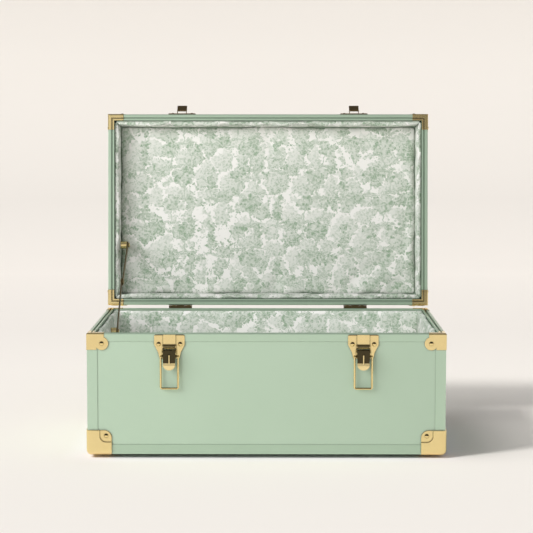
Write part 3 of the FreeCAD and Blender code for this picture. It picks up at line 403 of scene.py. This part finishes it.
plate_brass, plate_shader = polished_brass("plate_brass", 0.17)
off_middle, level = latch_place(plate_brass)
top_edge = soft_step(plate_brass, level, PLATE_TOP - 1.9 * MM, PLATE_TOP - 1.3 * MM)
under_strap = soft_step(plate_brass, off_middle, STRAP_HALF, STRAP_HALF - 0.5 * MM)
in_roll = math_of(
    plate_brass, "MULTIPLY", soft_step(plate_brass, level, ROLL_TOP, ROLL_TOP - 0.6 * MM),
    soft_step(plate_brass, level, ROLL_FOOT, ROLL_FOOT + 0.6 * MM),
)
paint_shade_and_reflection(plate_brass, plate_shader, math_of(
    plate_brass, "MULTIPLY", math_of(plate_brass, "MULTIPLY", under_strap, in_roll), 0.75,
))
beside_strap = math_of(plate_brass, "SUBTRACT", 1.0, under_strap)
paint_shade_and_reflection(plate_brass, plate_shader, math_of(
    plate_brass, "MULTIPLY", math_of(plate_brass, "MULTIPLY", beside_strap, top_edge), 0.85,
))
# Painted shade round the plate's rivets and edges.
painted_crevice_shade(plate_brass, plate_shader, 0.003, 0.25)
dress(("left_latch_plate", "right_latch_plate"), plate_brass)

bail_brass, bail_shader = polished_brass("bail_brass", 0.2)
off_middle, level = latch_place(bail_brass)
inner_side = soft_step(bail_brass, off_middle, BAIL_HALF + 0.1 * MM, BAIL_HALF - 0.5 * MM)
upper_side = soft_step(bail_brass, level, BAIL_FOOT - 0.2 * MM, BAIL_FOOT + 0.4 * MM)
paint_shade_and_reflection(bail_brass, bail_shader, math_of(
    bail_brass, "MULTIPLY", math_of(bail_brass, "MULTIPLY", inner_side, upper_side), 0.7,
))
dress(("left_latch_bail", "right_latch_bail"), bail_brass)

# ---- Stay links, hinges and catches ----
# The two straps of the stay, the hinges and the catches are brass-plated steel, darkened to a
# bronze brown. The stay's brackets and rivets stay bright.
BRONZE_LOW, BRONZE_HIGH = (0.16, 0.115, 0.058), (0.26, 0.195, 0.10)
bronze, bronze_shader = new_finish("darkened_brass", 0.35, metallic=1.0)
feed(bronze, blend_of(bronze, mottle(bronze, 60, 3), BRONZE_LOW, BRONZE_HIGH), bronze_shader, "Base Color")
feed(bronze, spread(bronze, mottle(bronze, 160, 3), 0.3, 0.7, 0.28, 0.42), bronze_shader, "Roughness")
relief(bronze, bronze_shader, mottle(bronze, 700, 2), 0.00002)
dress(("stay_lower_link", "stay_upper_link", "left_hinge", "right_hinge", "hinge_pins"), bronze)
dress(("left_catch", "right_catch"), bronze)

# ---- Feet ----
# Four black rubber discs screwed under the bottom board.
rubber, rubber_shader = new_finish("rubber", 0.8)
feed(rubber, blend_of(rubber, mottle(rubber, 200), (0.012, 0.012, 0.013), (0.03, 0.03, 0.032)), rubber_shader, "Base Color")
dress(("feet",), rubber)

# ---- Rivets ----
# Solid brass rivets with low domed heads, set through the corners, the latch plates, the catches
# and the hinges.
LENGTH, DEPTH, RIM = 610 * MM, 364 * MM, 206.8 * MM
HINGE_Y, HINGE_Z = 186.4 * MM, 207.6 * MM
OPEN_ANGLE = 95
BRASS_SHEET, STRIP = 0.7 * MM, 0.8 * MM
LID_HEIGHT = 61.5 * MM
LID_RIM_Z = RIM + 1.6 * MM
LID_TOP_Z = LID_RIM_Z + LID_HEIGHT
HEAD = [(3.6, 0.0), (3.6, 0.35), (3.35, 0.95), (2.75, 1.5), (1.9, 1.95), (0.95, 2.2)]
HEAD_TOP = 2.28 * MM
HEAD_STEPS = 20
rivet_brass, rivet_shader = polished_brass("rivet_brass", 0.16, rounded=0)
# Painted reflection: the upper part of each head, where it faces up, is painted dark for the dark room overhead.
facing = tool(rivet_brass, "ShaderNodeTexCoord").outputs["Normal"]
upward = tool(rivet_brass, "ShaderNodeSeparateXYZ", links={0: facing}).outputs["Z"]
paint_shade_and_reflection(rivet_brass, rivet_shader, math_of(
    rivet_brass, "MULTIPLY", soft_step(rivet_brass, upward, 0.0, 0.22), 0.9,
))
hinge_axis = Matrix.Translation((0, HINGE_Y, HINGE_Z))
opened = hinge_axis @ Matrix.Rotation(math.radians(-OPEN_ANGLE), 4, "X") @ hinge_axis.inverted()


def rivet_head(mesh, spot, outwards):
    """Adds one domed head to a mesh, standing out from a point."""
    turn = Vector((0, 0, 1)).rotation_difference(Vector(outwards)).to_matrix()
    rings = []
    for radius, rise in HEAD:
        ring = []
        for step in range(HEAD_STEPS):
            angle = 2 * math.pi * step / HEAD_STEPS
            local = Vector((radius * MM * math.cos(angle), radius * MM * math.sin(angle), rise * MM))
            ring.append(mesh.verts.new(Vector(spot) + turn @ local))
        rings.append(ring)
    crown = mesh.verts.new(Vector(spot) + turn @ Vector((0, 0, HEAD_TOP)))
    for low, high in zip(rings, rings[1:]):
        for step in range(HEAD_STEPS):
            after = (step + 1) % HEAD_STEPS
            mesh.faces.new((low[step], low[after], high[after], high[step]))
    for step in range(HEAD_STEPS):
        mesh.faces.new((rings[-1][step], rings[-1][(step + 1) % HEAD_STEPS], crown))
    mesh.faces.new(list(reversed(rings[0])))


def piece_from(mesh, name, finish, body, smooth=True):
    """Turns a bmesh into a piece in one finish that rides on a body."""
    data = bpy.data.meshes.new(name)
    mesh.to_mesh(data)
    mesh.free()
    data.materials.append(finish)
    if smooth:
        data.shade_smooth()
    made = bpy.data.objects.new(name, data)
    table.objects.link(made)
    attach(made, body)
    return made


def outer_faces(inward, level, stand_off):
    """The eight places, two beside each upright corner, of a corner piece's rivets."""
    for x_side in (-1, 1):
        for y_side in (-1, 1):
            x, y = x_side * LENGTH / 2, y_side * DEPTH / 2
            yield (x - x_side * inward, y + y_side * stand_off, level), (0, y_side, 0)
            yield (x + x_side * stand_off, y - y_side * inward, level), (x_side, 0, 0)


base_spots = list(outer_faces(31.8 * MM, 31.8 * MM - STRIP, BRASS_SHEET))
base_spots += outer_faces(25.3 * MM, RIM - 17.2 * MM, BRASS_SHEET)
lid_spots = list(outer_faces(24.2 * MM, LID_TOP_Z - 24.2 * MM, BRASS_SHEET))
lid_spots += outer_faces(25.3 * MM, LID_RIM_Z + 17.2 * MM, BRASS_SHEET)
for middle in (-164.4 * MM, 164.4 * MM):
    for x in (middle - 18.3 * MM, middle + 18.3 * MM):
        base_spots.append(((x, -DEPTH / 2 - 1.2 * MM, RIM - 18.0 * MM), (0, -1, 0)))
        lid_spots.append(((x, -DEPTH / 2 - 2.0 * MM, HINGE_Z + 21.0 * MM), (0, -1, 0)))
for middle in (-166.7 * MM, 166.7 * MM):
    for x in (middle - 14 * MM, middle + 14 * MM):
        base_spots.append(((x, DEPTH / 2 + 1.0 * MM, HINGE_Z - 22.8 * MM), (0, 1, 0)))
        lid_spots.append(((x, DEPTH / 2 + 1.0 * MM, HINGE_Z + 22.8 * MM), (0, 1, 0)))
heads = bmesh.new()
for spot, outwards in base_spots:
    rivet_head(heads, spot, outwards)
piece_from(heads, "base_rivet_heads", rivet_brass, "base")
heads = bmesh.new()
for spot, outwards in lid_spots:
    rivet_head(heads, spot, outwards)
bmesh.ops.transform(heads, matrix=opened, verts=heads.verts)
piece_from(heads, "lid_rivet_heads", rivet_brass, "lid")

# ---- Printed cotton ----
# Off-white cotton printed in one sage green ink: round trees, firs, bushes and hatched mounds on
# a half-drop repeat, before a crowd of paler leafy clumps with narrow bare lanes between them.
TILE_WIDE, TILE_TALL = 0.128, 0.106
COTTON = (0.85, 0.845, 0.815)
INK = (0.295, 0.40, 0.285)
LEAF, SMALL_LEAF, CLUMP, STIPPLE, WEAVE = 0.0048, 0.0042, 0.045, 0.0021, 0.0006


def nearest_lobe(finish, where, lobes):
    """How far out of the nearest oval a point is: under 1 inside one. An oval is (across, up,
    half width, half height, turn in degrees), in millimetres."""
    nearest = None
    for across, up, wide, tall, turn in lobes:
        oval = tool(finish, "ShaderNodeMapping", links={"Vector": where}, vector_type="TEXTURE", values={
            "Location": (across * MM, up * MM, 0), "Rotation": (0, 0, math.radians(turn)),
            "Scale": (wide * MM, tall * MM, 1),
        })
        out = tool(finish, "ShaderNodeVectorMath", links={0: oval.outputs[0]}, operation="LENGTH").outputs["Value"]
        nearest = out if nearest is None else math_of(finish, "MINIMUM", nearest, out)
    return nearest


def repeat(finish, where, across, up):
    """The print's own coordinates within one repeat, about its middle."""
    moved = tool(
        finish, "ShaderNodeVectorMath", {1: (across + TILE_WIDE / 2, up + TILE_TALL / 2, 0)}, {0: where},
        operation="ADD",
    )
    column = math_of(finish, "FLOOR", math_of(
        finish, "DIVIDE", tool(finish, "ShaderNodeSeparateXYZ", links={0: moved.outputs[0]}).outputs[0], TILE_WIDE,
    ))
    drop = math_of(finish, "MULTIPLY", math_of(finish, "MODULO", column, 2.0), TILE_TALL / 2)
    shifted = tool(finish, "ShaderNodeCombineXYZ", links={"Y": drop})
    dropped = tool(
        finish, "ShaderNodeVectorMath", links={0: moved.outputs[0], 1: shifted.outputs[0]}, operation="ADD",
    )
    wrapped = tool(
        finish, "ShaderNodeVectorMath", {1: (TILE_WIDE, TILE_TALL, 1), 2: (0, 0, 0)}, {0: dropped.outputs[0]},
        operation="WRAP",
    )
    return tool(
        finish, "ShaderNodeVectorMath", {1: (TILE_WIDE / 2, TILE_TALL / 2, 0)}, {0: wrapped.outputs[0]},
        operation="SUBTRACT",
    ).outputs[0]


def crown_lobes(draws, across, up, wide, tall, count):
    """A round crown: a middle oval with smaller ones about its edge."""
    lobes = [(across, up, wide * 0.62, tall * 0.62, 0)]
    for step in range(count):
        angle = 2 * math.pi * (step + draws.uniform(-0.25, 0.25)) / count
        size = draws.uniform(0.30, 0.42)
        lobes.append((
            across + math.cos(angle) * wide * 0.66, up + math.sin(angle) * tall * 0.66,
            wide * size, tall * size * 1.05, draws.uniform(-25, 25),
        ))
    return lobes


def fir_lobes(across, foot, wide, tall, tiers):
    """A fir: flat tiers that narrow to the top."""
    return [
        (across, foot + tall * (tier + 0.4) / tiers, wide * (1 - 0.82 * tier / tiers), tall / tiers * 0.62, 0)
        for tier in range(tiers)
    ]


draws = random.Random(11)
first_leaves = crown_lobes(draws, -34, 14, 23, 19, 8) + fir_lobes(18, -18, 14, 46, 6)
first_leaves += crown_lobes(draws, 47, -26, 13, 10, 5) + crown_lobes(draws, -4, -38, 12, 8, 5)
first_stems = [(-34, -12, 1.5, 16, 4), (-28, -2, 0.9, 10, -32), (-40, -2, 0.9, 9, 34), (18, -24, 1.3, 8, 0)]
first_ground = [(-32, -29, 22, 4.5, 3), (20, -31, 18, 3.5, -4), (50, -37, 14, 3.5, 0)]
second_leaves = crown_lobes(draws, 6, 15, 18, 16, 7) + crown_lobes(draws, -44, 22, 11, 10, 5)
second_leaves += crown_lobes(draws, 43, 12, 10, 15, 5) + crown_lobes(draws, -24, -24, 16, 7, 6)
second_stems = [(6, -8, 1.2, 14, -5), (12, 0, 0.8, 9, 28), (-44, 6, 0.9, 12, 5), (43, -6, 1.0, 12, -3)]
second_ground = [(6, -23, 17, 3.5, 2), (-44, -8, 12, 2.8, 0), (42, -19, 15, 3.2, -3), (-20, -35, 18, 3, 3)]


def printed_cotton(name):
    """The liner's cloth. It reads the print coordinates kept on each pad, in metres of cloth."""
    cotton, shader = new_finish(name, 0.92)
    laid = tool(cotton, "ShaderNodeUVMap", uv_map="print").outputs["UV"]
    wander = tool(cotton, "ShaderNodeTexNoise", {"Scale": 95.0, "Detail": 4.0, "Roughness": 0.65}, {"Vector": laid})
    off_centre = tool(
        cotton, "ShaderNodeVectorMath", {1: (0.5, 0.5, 0.5)}, {0: wander.outputs["Color"]}, operation="SUBTRACT",
    )
    drawn = tool(
        cotton, "ShaderNodeVectorMath", {1: (0.016, 0.016, 0)}, {0: off_centre.outputs[0], 2: laid},
        operation="MULTIPLY_ADD",
    ).outputs[0]
    first = repeat(cotton, drawn, 0, 0)
    second = repeat(cotton, drawn, TILE_WIDE / 2, TILE_TALL / 2)
    leaves = math_of(
        cotton, "MINIMUM", nearest_lobe(cotton, first, first_leaves), nearest_lobe(cotton, second, second_leaves),
    )
    stems = math_of(
        cotton, "MINIMUM", nearest_lobe(cotton, first, first_stems), nearest_lobe(cotton, second, second_stems),
    )
    ground = math_of(
        cotton, "MINIMUM", nearest_lobe(cotton, first, first_ground), nearest_lobe(cotton, second, second_ground),
    )
    leaf = tool(cotton, "ShaderNodeTexVoronoi", {"Scale": 1 / LEAF}, {"Vector": drawn}).outputs["Distance"]
    stipple = mottle(cotton, 1 / STIPPLE, 2, 0.6, laid)
    edge = math_of(cotton, "ADD", leaves, spread(cotton, leaf, 0.0, 0.75, -0.10, 0.16))
    in_crown = soft_step(cotton, edge, 1.06, 0.94)
    modelling = spread(cotton, leaf, 0.15, 0.60, 1.30, 0.55)
    lit = spread(cotton, mottle(cotton, 70, 2, 0.5, laid), 0.38, 0.62, 0.60, 1.1)
    crown_ink = math_of(cotton, "MULTIPLY", in_crown, math_of(cotton, "MULTIPLY", modelling, lit))
    stem_ink = math_of(cotton, "MULTIPLY", soft_step(cotton, stems, 1.08, 0.92), 0.65)
    hatch = tool(
        cotton, "ShaderNodeTexWave", {"Scale": 120.0, "Distortion": 2.0, "Detail": 1.0, "Detail Scale": 2.0},
        {"Vector": drawn}, bands_direction="Y",
    ).outputs["Fac"]
    ground_ink = math_of(
        cotton, "MULTIPLY", soft_step(cotton, ground, 1.1, 0.8), spread(cotton, hatch, 0.2, 0.8, 0.2, 0.85),
    )
    clump = tool(cotton, "ShaderNodeTexVoronoi", {"Scale": 1 / CLUMP, "Randomness": 0.85}, {"Vector": drawn})
    small_leaf = tool(cotton, "ShaderNodeTexVoronoi", {"Scale": 1 / SMALL_LEAF}, {"Vector": drawn}).outputs["Distance"]
    from_lane = tool(
        cotton, "ShaderNodeTexVoronoi", {"Scale": 1 / CLUMP, "Randomness": 0.85}, {"Vector": drawn},
        feature="DISTANCE_TO_EDGE",
    ).outputs["Distance"]
    wavering = spread(cotton, mottle(cotton, 38, 2, 0.5, laid), 0.3, 0.7, -0.035, 0.085)
    leafed = math_of(cotton, "MULTIPLY_ADD", small_leaf, -0.13, from_lane)
    in_clump = soft_step(cotton, math_of(cotton, "ADD", leafed, wavering), -0.015, 0.02)
    from_middle = tool(
        cotton, "ShaderNodeVectorMath", links={0: drawn, 1: clump.outputs["Position"]}, operation="SUBTRACT",
    )
    aside = tool(cotton, "ShaderNodeSeparateXYZ", links={0: from_middle.outputs[0]})
    slope = math_of(cotton, "SUBTRACT", aside.outputs["X"], aside.outputs["Y"])
    shaded = spread(cotton, slope, -0.028, 0.028, 0.50, 1.05)
    tint = tool(cotton, "ShaderNodeSeparateXYZ", links={0: clump.outputs["Color"]}).outputs["X"]
    body = math_of(cotton, "MULTIPLY", shaded, spread(cotton, tint, 0.0, 1.0, 0.68, 1.0))
    leafy = math_of(cotton, "MULTIPLY", body, spread(cotton, small_leaf, 0.15, 0.60, 1.25, 0.50))
    clump_ink = math_of(cotton, "MULTIPLY", in_clump, leafy)
    lane = soft_step(cotton, edge, 1.02, 1.16)
    behind = math_of(cotton, "MULTIPLY", clump_ink, math_of(cotton, "MAXIMUM", lane, in_crown))
    ink = math_of(cotton, "MAXIMUM", math_of(cotton, "MAXIMUM", crown_ink, stem_ink), math_of(cotton, "MAXIMUM", ground_ink, behind))
    broken = math_of(cotton, "MULTIPLY", ink, spread(cotton, stipple, 0.3, 0.6, 0.75, 1.1))
    feed(cotton, blend_of(cotton, broken, COTTON, INK), shader, "Base Color")
    warp = tool(cotton, "ShaderNodeTexWave", {"Scale": 0.314 / WEAVE}, {"Vector": laid}, bands_direction="X").outputs["Fac"]
    weft = tool(cotton, "ShaderNodeTexWave", {"Scale": 0.314 / WEAVE}, {"Vector": laid}, bands_direction="Y").outputs["Fac"]
    relief(cotton, shader, math_of(cotton, "ADD", warp, weft), 0.00006, 0.6)
    shader.inputs["Sheen Weight"].default_value = 0.15
    return cotton


cotton = printed_cotton("printed_cotton")

# ---- Wall pads ----
# Thin wadding under printed cotton, one strip to each wall, mitred where they meet and rolled
# over at the rim. The cloth is a little larger than its board, so it puffs and puckers.
PAD_STEP = 0.008
PAD_ROLL = 4.4 * MM
PAD_SLACK = 1.1 * MM
SWELL = 2.2 * MM
SIM_FRAMES = 20
shut = opened.inverted()


def rest_box(node, to_shut):
    """A pad's box as the lid's own frame has it, or as the base has it."""
    points = [(shut @ v.co) if to_shut else v.co for v in nodes[node].data.vertices]
    low = Vector([min(p[axis] for p in points) for axis in range(3)])
    high = Vector([max(p[axis] for p in points) for axis in range(3)])
    return low, high


def puff(piece, held, swell, pressure):
    """Blows the loose cloth of a pad out over its wadding, at most swell from where it lay."""
    group = piece.vertex_groups.new(name="held")
    group.add(held, 1.0, "REPLACE")
    wadding = piece.modifiers.new("wadding", "CLOTH")
    settings = wadding.settings
    settings.quality = 6
    settings.mass = 0.15
    settings.vertex_group_mass = "held"
    settings.use_pressure = True
    settings.uniform_pressure_force = pressure
    settings.tension_stiffness = settings.compression_stiffness = 20
    settings.shear_stiffness = 8
    settings.bending_stiffness = 0.3
    settings.shrink_min = -0.035
    settings.effector_weights.gravity = 0
    wadding.collision_settings.use_collision = False
    wadding.point_cache.frame_start = 1
    wadding.point_cache.frame_end = SIM_FRAMES
    for frame_number in range(1, SIM_FRAMES + 1):
        bpy.context.scene.frame_set(frame_number)
    seen = piece.evaluated_get(bpy.context.evaluated_depsgraph_get())
    moved = [v.co.copy() for v in seen.data.vertices]
    bpy.context.scene.frame_set(1)
    piece.modifiers.clear()
    for vertex, spot in zip(piece.data.vertices, moved):
        way = spot - vertex.co
        if way.length > swell:
            way *= swell / way.length
        vertex.co += way


def smoothed(piece):
    """One subdivision, applied."""
    piece.modifiers.new("round", "SUBSURF").levels = 1
    seen = piece.evaluated_get(bpy.context.evaluated_depsgraph_get())
    data = bpy.data.meshes.new_from_object(seen)
    piece.modifiers.clear()
    old = piece.data
    piece.data = data
    bpy.data.meshes.remove(old)
    data.name = piece.name
    data.shade_smooth()


def wall_pad(part, side, print_shift):
    node = f"{part}_{side}_liner"
    low, high = rest_box(node, part == "lid")
    rimward = 1 if part == "base" else -1
    board_level = low.z if rimward > 0 else high.z
    tall = high.z - low.z
    lengthways = side in ("front", "back")
    thick = (high.y - low.y) if lengthways else (high.x - low.x)
    half = ((high.x - low.x) if lengthways else (high.y - low.y)) / 2
    centre = (low + high) / 2
    face, top = thick - PAD_SLACK, tall - 0.6 * MM
    rows = max(3, round((tall - PAD_ROLL) / PAD_STEP))
    levels = [(top - PAD_ROLL) * row / rows for row in range(rows + 1)]
    roll = [math.pi / 2 * step / 3 for step in range(1, 3)]
    section = [(face, level) for level in levels]
    section += [(face - PAD_ROLL + PAD_ROLL * math.cos(t), top - PAD_ROLL + PAD_ROLL * math.sin(t)) for t in roll]
    section += [(face / 2, top)]
    section += [(PAD_ROLL - PAD_ROLL * math.sin(t), top - PAD_ROLL + PAD_ROLL * math.cos(t)) for t in roll]
    section += [(0.0, level) for level in reversed(levels)]
    along_cloth = [0.0]
    for here, there in zip(section, section[1:]):
        along_cloth.append(along_cloth[-1] + math.dist(here, there))
    stations = max(8, round(2 * half / PAD_STEP))
    mesh = bmesh.new()
    loops = []
    for station in range(stations + 1):
        share = 2 * station / stations - 1
        ring = []
        for deep, level in section:
            along = share * (half - deep)
            z = board_level + rimward * level
            spot = {
                "front": (along, low.y + deep, z), "back": (along, high.y - deep, z),
                "left": (low.x + deep, centre.y + along, z), "right": (high.x - deep, centre.y + along, z),
            }[side]
            ring.append(mesh.verts.new(spot))
        loops.append(ring)
    count = len(section)
    print_layer = mesh.loops.layers.uv.new("print")
    laid = {}
    for station, ring in enumerate(loops):
        for index, vertex in enumerate(ring):
            deep = section[index][0]
            along = (2 * station / stations - 1) * (half - deep)
            laid[vertex] = (along + print_shift[0], along_cloth[index] + print_shift[1])
    for near, far in zip(loops, loops[1:]):
        for index in range(count):
            after = (index + 1) % count
            mesh.faces.new((near[index], near[after], far[after], far[index]))
    for ring in (loops[0], loops[-1]):
        for row in range(rows):
            mesh.faces.new((ring[row], ring[row + 1], ring[count - 2 - row], ring[count - 1 - row]))
        mesh.faces.new(ring[rows:count - rows])
    bmesh.ops.recalc_face_normals(mesh, faces=mesh.faces)
    for made in mesh.faces:
        for loop in made.loops:
            loop[print_layer].uv = laid[loop.vert]
    mesh.verts.index_update()
    back_start = count - len(levels)
    held = [ring[index].index for ring in loops for index in range(count) if index >= back_start or index < 2]
    name = f"{part}_{side}_pad"
    pad = piece_from(mesh, name, cotton, part)
    puff(pad, held, SWELL, 3.0)
    if part == "lid":
        pad.data.transform(opened)
    smoothed(pad)
    lining.objects.link(pad)
    if part == "base":
        well_lining.objects.link(pad)
    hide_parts(node)


# ---- Flat pads ----
# A larger panel of the same cloth and wadding covers the trunk's floor, and one the inside of
# the lid. Each is crowned, with its edge tucked down beside the wall pads.
def flat_pad(part, node, print_shift):
    low, high = rest_box(node, part == "lid")
    up = 1 if part == "base" else -1
    back_level = low.z if up > 0 else high.z
    thick = high.z - low.z - PAD_SLACK
    wide, deep = high.x - low.x, high.y - low.y
    columns, rows = round(wide / PAD_STEP), round(deep / PAD_STEP)
    mesh = bmesh.new()
    print_layer = mesh.loops.layers.uv.new("print")

    def sheet(level_of):
        return [
            [
                mesh.verts.new((
                    low.x + wide * column / columns, low.y + deep * row / rows,
                    back_level + up * level_of(column, row),
                ))
                for column in range(columns + 1)
            ]
            for row in range(rows + 1)
        ]

    def tucked(column, row):
        return thick * 0.45 if column in (0, columns) or row in (0, rows) else thick

    top, back = sheet(tucked), sheet(lambda column, row: 0.0)
    for row in range(rows):
        for column in range(columns):
            for grid in (top, back):
                mesh.faces.new((
                    grid[row][column], grid[row][column + 1], grid[row + 1][column + 1], grid[row + 1][column],
                ))
    for row in range(rows):
        for column in (0, columns):
            mesh.faces.new((top[row][column], top[row + 1][column], back[row + 1][column], back[row][column]))
    for column in range(columns):
        for row in (0, rows):
            mesh.faces.new((top[row][column], top[row][column + 1], back[row][column + 1], back[row][column]))
    bmesh.ops.recalc_face_normals(mesh, faces=mesh.faces)
    flip = 1 if part == "base" else -1
    for made in mesh.faces:
        for loop in made.loops:
            spot = loop.vert.co
            loop[print_layer].uv = (spot.x + print_shift[0], flip * spot.y + print_shift[1])
    mesh.verts.index_update()
    held = [vertex.index for line in back for vertex in line]
    name = f"{part}_floor_pad" if part == "base" else "lid_top_pad"
    pad = piece_from(mesh, name, cotton, part)
    puff(pad, held, SWELL, 2.5)
    if part == "lid":
        pad.data.transform(opened)
    smoothed(pad)
    lining.objects.link(pad)
    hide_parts(node)


for part in ("base", "lid"):
    for number, side in enumerate(("front", "back", "left", "right")):
        wall_pad(part, side, (0.031 * number, 0.047 * number + (0.02 if part == "lid" else 0)))
flat_pad("base", "base_floor_liner", (0.011, 0.023))
flat_pad("lid", "lid_top_liner", (0.0, 0.0))
